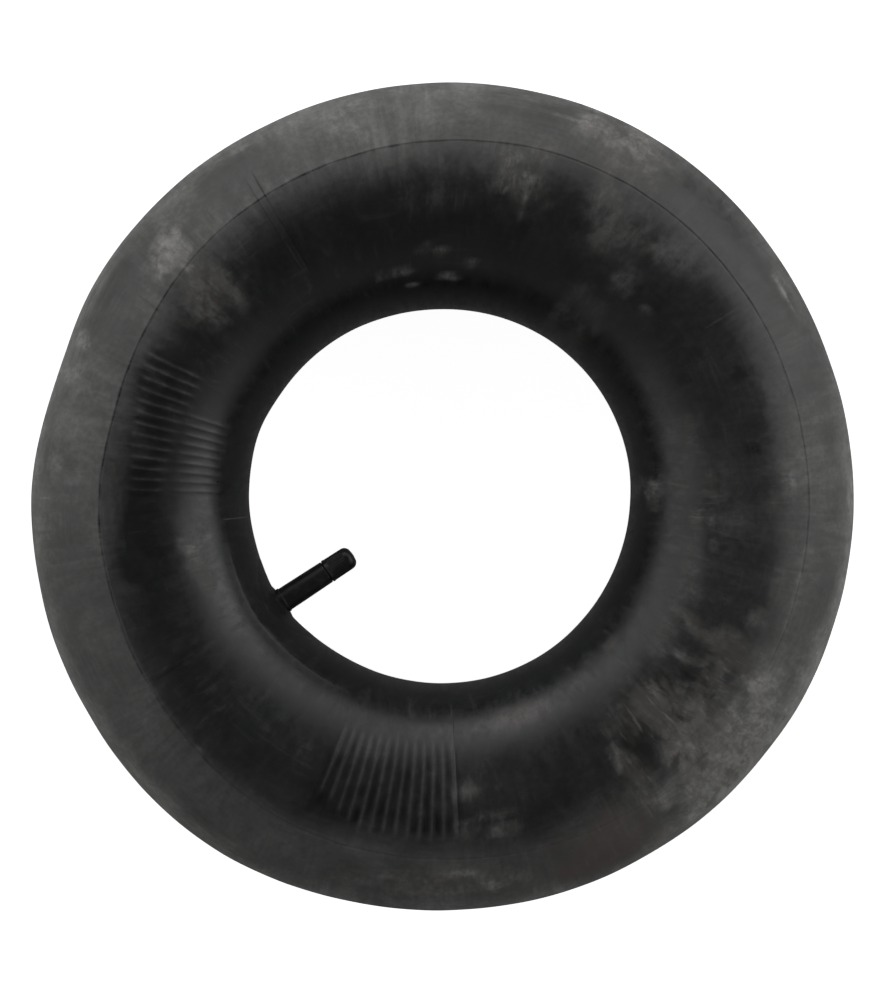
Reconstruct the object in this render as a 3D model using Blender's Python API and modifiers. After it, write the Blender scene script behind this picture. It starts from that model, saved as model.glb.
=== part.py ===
"""Inner tube with a straight rubber-covered valve, in metres, +Z up.

The tube lies on its side. Its ring axis is Z, the origin is the middle of its underside, and the valve
stem points along +X, from the -X side of the hole towards the middle of the ring.
"""

import math

import bpy

MM = 0.001
INCH = 25.4 * MM
SHARP_ANGLE = math.radians(30)

# Tube: a hollow ring, flattened where it rests.
RING_RADIUS = 141.5 * MM
SECTION_RADIUS = 52.5 * MM
WALL = 1.5 * MM
REST_BAND = 18.0 * MM
AIR_HOLE_RADIUS = 2.5 * MM
RING_STEPS = 52
SECTION_POINTS = 31

HOLE_RADIUS = RING_RADIUS - SECTION_RADIUS
MID_HEIGHT = math.sqrt(SECTION_RADIUS**2 - (REST_BAND / 2) ** 2)

# Heights along the stem are measured from the tube's surface, at the middle of the hole's side.
STEM_STEPS = 24
FIT_GAP = 0.1 * MM
AIRWAY_RADIUS = 1.6 * MM

# Valve base: a pad that follows the tube's surface, with a boss that bears on the rim.
PAD_RADIUS = 23.0 * MM
PAD_LIFT = 0.35 * MM
PAD_EDGE = 0.5 * MM
PAD_SLOPE = 0.075
PAD_RINGS = 4
BOSS_RADIUS = 6.9 * MM
BOSS_TOP = 3.2 * MM
BOSS_SEAT = 3.0 * MM
BOSS_SEAT_RADIUS = 6.0 * MM

# Stem: the rubber neck bends, and the jacket above it is stiffened by the brass insert.
STEM_ROOT_RADIUS = 5.75 * MM
STEM_TOP_RADIUS = 5.5 * MM
NECK_TOP = 6.1 * MM
FLEX_HEIGHT = 4.6 * MM
JACKET_TOP = 24.6 * MM
JACKET_EDGE = 0.4 * MM

# Brass insert: cap thread outside and core thread inside, both as plain cylinders.
TIP = 37.2 * MM
INSERT_FOOT = 9.0 * MM
INSERT_FLANGE_RADIUS = 4.3 * MM
INSERT_FLANGE = 1.0 * MM
INSERT_BODY_RADIUS = 3.5 * MM
CAP_THREAD_RADIUS = 0.305 * INCH / 2
CAP_THREAD_FOOT = 26.6 * MM
CHAMFER = 0.5 * MM
CORE_BORE_RADIUS = 2.7 * MM
CORE_LOWER_RADIUS = 2.15 * MM
CORE_LOWER_FOOT = 15.0 * MM
SEAT_TOP_RADIUS = 2.35 * MM
SEAT_DEPTH = (8.4 * MM, 10.4 * MM)

# Valve core, as depths below the insert's tip.
PLUG_DEPTH = (0.7 * MM, 6.1 * MM)
PLUG_RADIUS = 2.6 * MM
PLUG_BORE_RADIUS = 0.9 * MM
PLUG_TONGUE = 2.4 * MM
PLUG_TONGUE_DEPTH = 1.9 * MM
SWIVEL_RADIUS = 2.0 * MM
SWIVEL_NECK_RADIUS = 1.65 * MM
SWIVEL_HEAD = 0.7 * MM
PLUG_LIP = 0.4 * MM
BARREL_RADIUS = 1.95 * MM
BARREL_BORE_RADIUS = 1.35 * MM
BARREL_FOOT_DEPTH = 13.0 * MM
BARREL_FLOOR = 1.0 * MM
BARREL_FLOOR_HOLE = 0.75 * MM
GASKET_DEPTH = (8.3 * MM, 10.4 * MM)
PIN_RADIUS = 0.5 * MM
PIN_TOP_DEPTH = 0.35 * MM
PIN_HEAD = (0.6 * MM, 0.8 * MM)
PIN_COLLAR_RADIUS = 1.2 * MM
PIN_COLLAR_DEPTH = (6.1 * MM, 6.7 * MM)
PIN_FOOT_RADIUS = 0.8 * MM
PIN_FOOT = 0.4 * MM
CUP_RADIUS = 1.85 * MM
CUP_WALL = 0.3 * MM
CUP_FLOOR = 0.8 * MM
SEAL_THICKNESS = 1.0 * MM
SPRING_RADIUS = 1.05 * MM
SPRING_WIRE_RADIUS = 0.14 * MM
SPRING_TURNS = 6
SPRING_TURN_POINTS = 14

# Cap: a moulded shell over a rubber disc that seals against the tip.
CAP_MOUTH = 24.8 * MM
CAP_MOUTH_RADIUS = 5.7 * MM
CAP_LEAD_IN = 2.8 * MM
CAP_LEAD_IN_RADIUS = 4.4 * MM
CAP_SHOULDER_RADIUS = 5.45 * MM
CAP_CORNER = 3.5 * MM
CAP_END = 39.3 * MM
CAP_DOME = 0.25 * MM
CAP_END_WALL = 1.2 * MM
CAP_SEAL_RADIUS = 3.4 * MM
CORNER_POINTS = 6

COLOURS = {
    "butyl": ((0.030, 0.030, 0.031), 0.55, 0.0),
    "stem_rubber": ((0.014, 0.014, 0.014), 0.6, 0.0),
    "seal_rubber": ((0.020, 0.020, 0.020), 0.7, 0.0),
    "cap_plastic": ((0.016, 0.016, 0.017), 0.4, 0.0),
    "brass": ((0.66, 0.46, 0.17), 0.3, 1.0),
    "steel": ((0.56, 0.56, 0.55), 0.3, 1.0),
    "gasket": ((0.45, 0.03, 0.02), 0.5, 0.0),
}


def clear_scene():
    for obj in list(bpy.data.objects):
        bpy.data.objects.remove(obj)
    for collection in list(bpy.data.collections):
        bpy.data.collections.remove(collection)


def new_collection(name):
    collection = bpy.data.collections.new(name)
    bpy.context.scene.collection.children.link(collection)
    return collection


def new_material(name):
    colour, roughness, metallic = COLOURS[name]
    material = bpy.data.materials.new(name)
    material.use_nodes = True
    shader = material.node_tree.nodes["Principled BSDF"]
    shader.inputs["Base Color"].default_value = (*colour, 1.0)
    shader.inputs["Roughness"].default_value = roughness
    shader.inputs["Metallic"].default_value = metallic
    return material


clear_scene()
PARTS = new_collection("inner_tube")
CUTTERS = new_collection("cutters")
MATERIALS = {name: new_material(name) for name in COLOURS}


def new_axis(name, location, turn=0.0, parent=None):
    """An empty whose Z is the axis of what is parented to it."""
    empty = bpy.data.objects.new(name, None)
    empty.empty_display_size = 10 * MM
    empty.location = location
    empty.rotation_euler = (0, turn, 0)
    empty.parent = parent
    PARTS.objects.link(empty)
    return empty


def new_part(name, data, material, parent=None, height=0.0):
    data.materials.append(MATERIALS[material])
    part = bpy.data.objects.new(name, data)
    part.parent = parent
    part.location = (0, 0, height)
    PARTS.objects.link(part)
    return part


def new_cutter(obj, parent=None):
    for collection in obj.users_collection:
        collection.objects.unlink(obj)
    CUTTERS.objects.link(obj)
    obj.parent = parent
    obj.hide_render = True
    obj.display_type = "WIRE"
    return obj


def cut(part, cutter):
    boolean = part.modifiers.new("Cut", "BOOLEAN")
    boolean.operation = "DIFFERENCE"
    boolean.solver = "EXACT"
    boolean.object = cutter


def made_mesh(part):
    """Replaces the part's modifiers by the mesh that they make, shaded smooth between its sharp edges."""
    graph = bpy.context.evaluated_depsgraph_get()
    part.data = bpy.data.meshes.new_from_object(part.evaluated_get(graph))
    part.modifiers.clear()
    part.data.shade_smooth()
    part.data.set_sharp_from_angle(angle=SHARP_ANGLE)
    return part.data


def turned(name, profile, material, parent=None, height=0.0, steps=STEM_STEPS):
    """A solid turned about Z, from (radius, height) points down its outer side and back up its inner one."""
    last = len(profile) - 1
    edges = [(i, i + 1) for i in range(last)]
    if profile[0][0] > 0:
        edges.append((last, 0))
    mesh = bpy.data.meshes.new(name)
    mesh.from_pydata([(radius, 0, z) for radius, z in profile], edges, [])
    part = new_part(name, mesh, material, parent, height)
    screw = part.modifiers.new("Turn", "SCREW")
    screw.steps = screw.render_steps = steps
    screw.use_merge_vertices = True
    screw.merge_threshold = 1e-6
    made_mesh(part)
    return part


def tube_section():
    """The section's outline: one arc, closed by the flat that the tube rests on."""
    flat = math.asin(REST_BAND / 2 / SECTION_RADIUS)
    start = 1.5 * math.pi - flat
    step = (2 * math.pi - 2 * flat) / (SECTION_POINTS - 1)
    angles = [start - step * i for i in range(SECTION_POINTS)]
    return [
        (RING_RADIUS + SECTION_RADIUS * math.cos(a), MID_HEIGHT + SECTION_RADIUS * math.sin(a))
        for a in angles
    ]


def make_tube():
    tube = turned("tube_body", tube_section(), "butyl", steps=RING_STEPS)
    shell = tube.modifiers.new("Wall", "SOLIDIFY")
    shell.thickness = WALL
    shell.offset = -1
    shell.use_even_offset = True
    bpy.ops.mesh.primitive_cylinder_add(
        vertices=STEM_STEPS,
        radius=AIR_HOLE_RADIUS,
        depth=8 * WALL,
        location=(-HOLE_RADIUS, 0, MID_HEIGHT),
        rotation=(0, math.pi / 2, 0),
    )
    air_hole = bpy.context.object
    air_hole.name = "air_hole"
    cut(tube, new_cutter(air_hole))


def surface_rise(across, up):
    """How far the tube's surface stands towards the middle of the hole, at a place beside the stem's axis."""
    ring = RING_RADIUS - math.sqrt(SECTION_RADIUS**2 - up**2)
    return HOLE_RADIUS - math.sqrt(ring**2 - across**2)


def make_valve_base(valve):
    """The pad and boss are turned as if the tube were flat, and what lies on the tube is then bent to it."""
    rings = [BOSS_RADIUS + (PAD_RADIUS - BOSS_RADIUS) * i / PAD_RINGS for i in range(PAD_RINGS + 1)]
    pad_top = [(r, PAD_LIFT + PAD_EDGE + PAD_SLOPE * (PAD_RADIUS - r)) for r in rings]
    underside = [(r, PAD_LIFT) for r in reversed(rings)]
    profile = [(BOSS_RADIUS, BOSS_TOP), *pad_top, *underside]
    profile += [(AIRWAY_RADIUS, PAD_LIFT), (AIRWAY_RADIUS, BOSS_SEAT)]
    profile += [(BOSS_SEAT_RADIUS, BOSS_SEAT), (BOSS_SEAT_RADIUS, BOSS_TOP)]
    base = turned("valve_base", profile, "stem_rubber", valve)
    boss_floor = BOSS_SEAT - FIT_GAP
    for vertex in base.data.vertices:
        if vertex.co.z < boss_floor:
            vertex.co.z += surface_rise(vertex.co.y, vertex.co.x)


def make_stem(pivot):
    foot = NECK_TOP + FIT_GAP
    neck = [
        (STEM_ROOT_RADIUS, NECK_TOP),
        (STEM_ROOT_RADIUS, BOSS_SEAT + FIT_GAP),
        (AIRWAY_RADIUS, BOSS_SEAT + FIT_GAP),
        (AIRWAY_RADIUS, NECK_TOP),
    ]
    turned("stem_neck", neck, "stem_rubber", pivot, -FLEX_HEIGHT)
    pocket = INSERT_BODY_RADIUS + FIT_GAP
    flange_pocket = INSERT_FLANGE_RADIUS + FIT_GAP
    jacket = [
        (STEM_TOP_RADIUS - JACKET_EDGE, JACKET_TOP),
        (STEM_TOP_RADIUS, JACKET_TOP - JACKET_EDGE),
        (STEM_ROOT_RADIUS, foot),
        (AIRWAY_RADIUS, foot),
        (AIRWAY_RADIUS, INSERT_FOOT - FIT_GAP),
        (flange_pocket, INSERT_FOOT - FIT_GAP),
        (flange_pocket, INSERT_FOOT + INSERT_FLANGE + FIT_GAP),
        (pocket, INSERT_FOOT + INSERT_FLANGE + FIT_GAP),
        (pocket, JACKET_TOP),
    ]
    turned("stem_jacket", jacket, "stem_rubber", pivot, -FLEX_HEIGHT)


def make_insert(pivot):
    profile = [
        (CAP_THREAD_RADIUS - CHAMFER, TIP),
        (CAP_THREAD_RADIUS, TIP - CHAMFER),
        (CAP_THREAD_RADIUS, CAP_THREAD_FOOT),
        (INSERT_BODY_RADIUS, CAP_THREAD_FOOT - CHAMFER),
        (INSERT_BODY_RADIUS, INSERT_FOOT + INSERT_FLANGE),
        (INSERT_FLANGE_RADIUS, INSERT_FOOT + INSERT_FLANGE),
        (INSERT_FLANGE_RADIUS, INSERT_FOOT),
        (AIRWAY_RADIUS, INSERT_FOOT),
        (AIRWAY_RADIUS, CORE_LOWER_FOOT),
        (CORE_LOWER_RADIUS, CORE_LOWER_FOOT + CHAMFER),
        (CORE_LOWER_RADIUS, TIP - SEAT_DEPTH[1]),
        (SEAT_TOP_RADIUS, TIP - SEAT_DEPTH[0]),
        (CORE_BORE_RADIUS, TIP - SEAT_DEPTH[0] + CHAMFER),
        (CORE_BORE_RADIUS, TIP),
    ]
    turned("valve_insert", profile, "brass", pivot, -FLEX_HEIGHT)


def make_core_plug(pivot):
    """The threaded head that turns on the barrel, with a tongue across its top for the core tool."""
    top, foot = (TIP - depth for depth in PLUG_DEPTH)
    recess = foot + PLUG_LIP
    profile = [
        (PLUG_RADIUS, top),
        (PLUG_RADIUS, foot),
        (SWIVEL_NECK_RADIUS + FIT_GAP, foot),
        (SWIVEL_NECK_RADIUS + FIT_GAP, recess),
        (SWIVEL_RADIUS + FIT_GAP, recess),
        (SWIVEL_RADIUS + FIT_GAP, recess + SWIVEL_HEAD + 2 * FIT_GAP),
        (PLUG_BORE_RADIUS, recess + SWIVEL_HEAD + 2 * FIT_GAP),
        (PLUG_BORE_RADIUS, top),
    ]
    plug = turned("core_plug", profile, "brass", pivot, -FLEX_HEIGHT)
    for side in (-1, 1):
        bpy.ops.mesh.primitive_cube_add(size=1)
        shoulder = bpy.context.object
        shoulder.name = f"plug_shoulder_{side:+d}"
        shoulder.scale = (2 * PLUG_RADIUS, 3 * PLUG_RADIUS, 2 * PLUG_TONGUE_DEPTH)
        shoulder.location = (side * (PLUG_TONGUE / 2 + PLUG_RADIUS), 0, top - FLEX_HEIGHT)
        cut(plug, new_cutter(shoulder, pivot))


def make_core_barrel(pivot):
    head_foot = TIP - PLUG_DEPTH[1] + PLUG_LIP + FIT_GAP
    head_top = head_foot + SWIVEL_HEAD
    foot = TIP - BARREL_FOOT_DEPTH
    groove_top = TIP - GASKET_DEPTH[0] + FIT_GAP
    groove_foot = TIP - GASKET_DEPTH[1] - FIT_GAP
    shoulder = TIP - PLUG_DEPTH[1] - FIT_GAP
    profile = [
        (SWIVEL_RADIUS, head_top),
        (SWIVEL_RADIUS, head_foot),
        (SWIVEL_NECK_RADIUS, head_foot),
        (SWIVEL_NECK_RADIUS, shoulder),
        (BARREL_RADIUS, shoulder),
        (BARREL_RADIUS, groove_top),
        (SWIVEL_NECK_RADIUS, groove_top),
        (SWIVEL_NECK_RADIUS, groove_foot),
        (BARREL_RADIUS, groove_foot),
        (BARREL_RADIUS, foot),
        (BARREL_FLOOR_HOLE, foot),
        (BARREL_FLOOR_HOLE, foot + BARREL_FLOOR),
        (BARREL_BORE_RADIUS, foot + BARREL_FLOOR),
        (BARREL_BORE_RADIUS, head_top),
    ]
    turned("core_barrel", profile, "brass", pivot, -FLEX_HEIGHT)


def make_core_gasket(pivot):
    top, foot = (TIP - depth for depth in GASKET_DEPTH)
    profile = [
        (SEAT_TOP_RADIUS - FIT_GAP, top),
        (CORE_LOWER_RADIUS - FIT_GAP, foot),
        (SWIVEL_NECK_RADIUS + FIT_GAP, foot),
        (SWIVEL_NECK_RADIUS + FIT_GAP, top),
    ]
    turned("core_gasket", profile, "gasket", pivot, -FLEX_HEIGHT)


def make_core_pin(pivot):
    """The pin, and on its foot the cup and rubber seal that it pulls up against the barrel."""
    seal_top = TIP - BARREL_FOOT_DEPTH - FIT_GAP
    seal_foot = seal_top - SEAL_THICKNESS
    cup_floor = seal_foot - FIT_GAP
    cup_foot = cup_floor - CUP_FLOOR
    cup_rim = seal_top - FIT_GAP
    head_radius, head_depth = PIN_HEAD
    collar_top, collar_foot = (TIP - depth for depth in PIN_COLLAR_DEPTH)
    foot_top = cup_foot - FIT_GAP
    pin = [
        (0, TIP - PIN_TOP_DEPTH),
        (PIN_RADIUS, TIP - PIN_TOP_DEPTH),
        (head_radius, TIP - PIN_TOP_DEPTH - FIT_GAP),
        (head_radius, TIP - PIN_TOP_DEPTH - head_depth),
        (PIN_RADIUS, TIP - PIN_TOP_DEPTH - head_depth - FIT_GAP),
        (PIN_RADIUS, collar_top),
        (PIN_COLLAR_RADIUS, collar_top),
        (PIN_COLLAR_RADIUS, collar_foot),
        (PIN_RADIUS, collar_foot),
        (PIN_RADIUS, foot_top),
        (PIN_FOOT_RADIUS, foot_top),
        (PIN_FOOT_RADIUS, foot_top - PIN_FOOT),
        (0, foot_top - PIN_FOOT),
    ]
    turned("core_pin", pin, "brass", pivot, -FLEX_HEIGHT)
    pin_hole = PIN_RADIUS + FIT_GAP
    cup_bore = CUP_RADIUS - CUP_WALL
    cup = [
        (CUP_RADIUS, cup_rim),
        (CUP_RADIUS, cup_floor),
        (cup_bore, cup_foot),
        (pin_hole, cup_foot),
        (pin_hole, cup_floor),
        (cup_bore, cup_floor),
        (cup_bore, cup_rim),
    ]
    turned("core_cup", cup, "brass", pivot, -FLEX_HEIGHT)
    seal_radius = cup_bore - FIT_GAP
    seal = [
        (seal_radius, seal_top),
        (seal_radius, seal_foot),
        (pin_hole, seal_foot),
        (pin_hole, seal_top),
    ]
    turned("core_seal", seal, "seal_rubber", pivot, -FLEX_HEIGHT)


def make_core_spring(pivot):
    """A coil between the barrel's floor and the pin's collar."""
    foot = TIP - BARREL_FOOT_DEPTH + BARREL_FLOOR + FIT_GAP + SPRING_WIRE_RADIUS
    top = TIP - PIN_COLLAR_DEPTH[1] - FIT_GAP - SPRING_WIRE_RADIUS
    curve = bpy.data.curves.new("core_spring", "CURVE")
    curve.dimensions = "3D"
    curve.bevel_depth = SPRING_WIRE_RADIUS
    curve.bevel_resolution = 1
    curve.use_fill_caps = True
    spline = curve.splines.new("POLY")
    last = SPRING_TURNS * SPRING_TURN_POINTS
    spline.points.add(last)
    for i, point in enumerate(spline.points):
        angle = 2 * math.pi * i / SPRING_TURN_POINTS
        x, y = SPRING_RADIUS * math.cos(angle), SPRING_RADIUS * math.sin(angle)
        point.co = (x, y, foot + (top - foot) * i / last, 1)
    new_part("core_spring", curve, "steel", pivot, -FLEX_HEIGHT)


def make_cap(pivot):
    """The shell's thread starts behind a smooth lead-in, so that twelve turns free it from the insert's."""
    bore = CAP_THREAD_RADIUS + FIT_GAP
    cavity_top = CAP_END - CAP_END_WALL
    seal_pocket = CAP_SEAL_RADIUS + FIT_GAP
    centre = (CAP_SHOULDER_RADIUS - CAP_CORNER, CAP_END - CAP_DOME - CAP_CORNER)
    corner_angles = [math.pi / 2 * (1 - i / CORNER_POINTS) for i in range(CORNER_POINTS + 1)]
    corner = [
        (centre[0] + CAP_CORNER * math.cos(a), centre[1] + CAP_CORNER * math.sin(a))
        for a in corner_angles
    ]
    shell = [
        (0, CAP_END),
        *corner,
        (CAP_MOUTH_RADIUS, CAP_MOUTH),
        (CAP_LEAD_IN_RADIUS, CAP_MOUTH),
        (CAP_LEAD_IN_RADIUS, CAP_MOUTH + CAP_LEAD_IN),
        (bore, CAP_MOUTH + CAP_LEAD_IN),
        (bore, TIP - CHAMFER),
        (seal_pocket, TIP),
        (seal_pocket, cavity_top),
        (0, cavity_top),
    ]
    turned("cap_shell", shell, "cap_plastic", pivot, -FLEX_HEIGHT)
    gasket = [
        (0, cavity_top - FIT_GAP),
        (CAP_SEAL_RADIUS, cavity_top - FIT_GAP),
        (CAP_SEAL_RADIUS, TIP + FIT_GAP),
        (0, TIP + FIT_GAP),
    ]
    turned("cap_gasket", gasket, "seal_rubber", pivot, -FLEX_HEIGHT)


def main():
    valve = new_axis("valve_axis", (-HOLE_RADIUS, 0, MID_HEIGHT), math.pi / 2)
    pivot = new_axis("flex_pivot", (0, 0, FLEX_HEIGHT), parent=valve)
    make_tube()
    make_valve_base(valve)
    make_stem(pivot)
    make_insert(pivot)
    make_core_plug(pivot)
    make_core_barrel(pivot)
    make_core_gasket(pivot)
    make_core_pin(pivot)
    make_core_spring(pivot)
    make_cap(pivot)


main()
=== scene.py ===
"""The looks of the inner tube: its dusty, worn rubber and its valve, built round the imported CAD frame.

A place on the tube is two angles in degrees. ring goes round from the valve, counter-clockwise as seen
from above. section goes from 0 at the outermost line, over the top at 90, to 180 at the hole, and is
negative on the underside. A place on the valve is a height above the tube's nominal surface and a radius
about the stem.
"""

import math

import bpy
import numpy as np
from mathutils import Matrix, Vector, noise


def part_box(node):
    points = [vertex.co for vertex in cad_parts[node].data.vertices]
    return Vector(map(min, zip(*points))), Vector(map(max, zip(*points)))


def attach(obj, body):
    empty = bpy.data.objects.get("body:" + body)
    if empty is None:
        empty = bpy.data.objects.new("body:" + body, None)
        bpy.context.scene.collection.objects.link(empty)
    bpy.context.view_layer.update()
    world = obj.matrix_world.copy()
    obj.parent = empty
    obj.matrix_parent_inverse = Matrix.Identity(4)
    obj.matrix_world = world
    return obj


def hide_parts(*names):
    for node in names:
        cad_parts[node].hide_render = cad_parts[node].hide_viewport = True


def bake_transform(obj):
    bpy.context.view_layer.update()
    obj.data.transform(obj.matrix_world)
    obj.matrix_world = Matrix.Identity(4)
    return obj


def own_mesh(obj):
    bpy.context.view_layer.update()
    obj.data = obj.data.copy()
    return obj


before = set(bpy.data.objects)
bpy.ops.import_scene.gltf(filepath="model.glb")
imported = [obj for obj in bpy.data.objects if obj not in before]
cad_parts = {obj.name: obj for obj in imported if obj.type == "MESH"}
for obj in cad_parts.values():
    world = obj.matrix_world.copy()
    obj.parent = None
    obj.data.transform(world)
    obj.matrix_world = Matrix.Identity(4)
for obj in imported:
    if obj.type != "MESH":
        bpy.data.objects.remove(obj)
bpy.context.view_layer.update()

MM = 0.001
INCH = 25.4 * MM
SHARP_ANGLE = math.radians(32)
NOISE_GAIN = 1.6

# The tube, from its CAD box. Its section is a circle cut off by the flat that it rests on.
REST_BAND = 18 * MM
TUBE_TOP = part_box("tube_body")[1]
SECTION_RADIUS = (TUBE_TOP.z**2 + (REST_BAND / 2) ** 2) / (2 * TUBE_TOP.z)
MID_HEIGHT = TUBE_TOP.z - SECTION_RADIUS
RING_RADIUS = TUBE_TOP.x - SECTION_RADIUS
HOLE_RADIUS = RING_RADIUS - SECTION_RADIUS

# How far the outer edge and the hole's edge stand outwards of true circles: (ring, spread, mm).
OUTER_BULGES = (
    (-142, 17, 1.9),
    (-112, 14, 0.1),
    (-75, 45, -1.4),
    (-66, 14, -1.0),
    (-50, 9, -3.5),
    (20, 15, 2.6),
    (90, 30, 0.1),
    (158, 22, -0.9),
)
HOLE_BULGES = (
    (-113, 15, -0.6),
    (-53, 7, 1.1),
    (-35, 28, 1.7),
    (0, 9, 1.6),
    (82, 75, -1.2),
    (178, 22, 1.0),
)
# Unevenness of the rubber: (size of its swells, height).
SWELLS = ((55 * MM, 0.45 * MM), (19 * MM, 0.09 * MM))

# The mould line on each face, as (ring, section), and how far it is eased along the ring.
MOULD_LINE = ((-178, 62), (-134, 66.5), (-93, 70.5), (-53, 75), (10, 73), (32, 65), (90, 60), (135, 59.5))
MOULD_EASE = 9

# The mesh's rows bend to follow the mould line: its mean section, and how far from it they still bend.
MOULD_MEAN = 66
MOULD_REACH = 55

# The groove along the mould line, and the lip on its outer side with the dust that lies on it.
MOULD_WANDER = 0.25 * MM
MOULD_GROOVE = 0.16 * MM
GROOVE_WIDTH = 0.32 * MM
MOULD_LIP = 0.1 * MM
LIP_PLACE = 0.8 * MM
LIP_WIDTH = 0.4 * MM
LIP_DUST = 0.15
DUST_PLACE = 0.95 * MM
DUST_WIDTH = 0.35 * MM

# How dark the painted shade in the groove is: (ring, spread, more or less).
GROOVE_SHADE = 0.5
GROOVE_SHADE_WIDTH = 0.55 * MM
GROOVE_SHADE_PATCHES = ((-38, 26, 0.8), (165, 20, 0.3), (-112, 16, 0.4), (75, 45, -0.3), (125, 20, -0.3))

# The ridge beside the hole, near the valve, with a strip of painted shade on each side of it. All but its
# height and its dust are in degrees.
RIDGE_SECTION = 143
RIDGE_HEIGHT = 0.2 * MM
RIDGE_DUST = 0.35
RIDGE_WIDTH = 1.1
RIDGE_SPAN = (-26, 34)
RIDGE_FADE = 12
RIDGE_FLANK = 5

# Raised ribs across each face, on both sides of the valve, with painted shade in the gaps between them.
RIB_COUNT = 13
RIB_START = 34.45
RIB_PITCH = 2.06
RIB_WIDTH = 0.6 * MM
RIB_HEIGHT = 0.3 * MM
RIB_DUST = 0.45
RIB_GAP_SHADE = 1.0

# From which section to which the ribs and the gaps run, counter-clockwise of the valve (ahead) and
# clockwise of it (behind), before the small differences from rib to rib. Behind, the ribs nearest the valve
# have a second stretch farther inwards.
RIBS_AHEAD = (72, 124)
RIBS_BEHIND = (88, 109)
RIBS_INWARDS = (110, 143)
GAPS_AHEAD = (73, 124)
GAPS_BEHIND = (86, 107)
GAPS_INWARDS = (114, 140)
INWARD_RIBS = 9

# Fine lines across the section: (ring, from section, to section, height in mm, light or dark). Their width
# and the fade at their ends are in degrees.
MARKS = (
    (-92.9, 53, 115, -0.16, -0.8),
    (-91.5, 53, 115, 0.16, -0.5),
    (-33.0, 29, 43, 0.14, 1.6),
    (-27.2, 142, 172, 0.2, 1.3),
    (-0.5, 76, 106, -0.10, -0.5),
    (59.5, 74, 150, 0.14, 0.35),
    (138.3, 84, 104, -0.06, -0.25),
    (179.2, 71, 90, 0.14, 0.4),
)
MARK_WIDTH = 0.11
MARK_FADE = 3

# Columns and rows of the tube's mesh, with closer ones across what is narrow, in degrees. A plain column or
# row that is nearer than the gap to a closer one is left out.
RING_STEP = 1.0
RING_GAP = 0.3
SECTION_STEP = 3.0
SECTION_GAP = 1.2
RIB_COLUMNS = (-0.8, -0.45, -0.2, 0, 0.2, 0.45, 0.8)
MARK_COLUMNS = (-0.3, -0.15, 0, 0.15, 0.3)
MOULD_ROWS = (-1.6, -1.0, -0.6, -0.3, 0, 0.3, 0.6, 1.0, 1.6)
RIDGE_ROWS = (-2.4, -1.4, -0.7, 0, 0.7, 1.4, 2.4)

# The film of talc outside the mould lines, with patches of (ring, spread, more or less).
OUTER_FILM = 0.52
OUTER_PATCHES = (
    (-112, 17, 0.3),
    (-41, 16, 0.26),
    (52, 34, 0.03),
    (118, 12, 0.2),
    (148, 15, 0.14),
    (-168, 12, -0.2),
    (-139, 8, -0.12),
    (132, 9, 0.1),
)

# The share of it that carries on inside the mould lines, and how it dies away there.
INNER_SHARE = 0.8
INNER_PATCHES = ((2, 30, -0.5), (-48, 12, -0.2), (-93, 10, -0.35), (156, 22, 0.16))
INNER_FADE = 26
INNER_CURVE = 1.3

# Over how many degrees of section the film changes at the mould line, and the share of that outside it.
LINE_FADE = 1.5
FADE_PATCHES = ((48, 32, 10), (115, 20, 6), (160, 22, 5))
FADE_LEAD = 0.4

# A painted highlight towards the outermost line, laid on as more film, the least film inside the mould
# lines, and more at the hole. Each edge is the section where it starts or ends, and over how many degrees.
RIM_HIGHLIGHT = 0.6
RIM_HIGHLIGHT_PATCHES = ((-3, 18, 0.5), (110, 25, 0.4), (-153, 16, -0.25))
RIM_HIGHLIGHT_EDGE = (44, 34)
HAZE = 0.02
HAZE_PATCHES = ((130, 26, 0.14), (-168, 20, 0.06), (60, 16, 0.07))
HAZE_EDGE = (130, 30)
HOLE_PATCHES = ((65, 45, 0.14),)
HOLE_EDGE = (155, 20)

# Dust from the floor on the underside: its talc, its stain, and how far below the outermost line it starts.
DUST_TALC = 0.35
DUST_STAIN = 0.25
DUST_EDGE = (10, 20)
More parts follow.
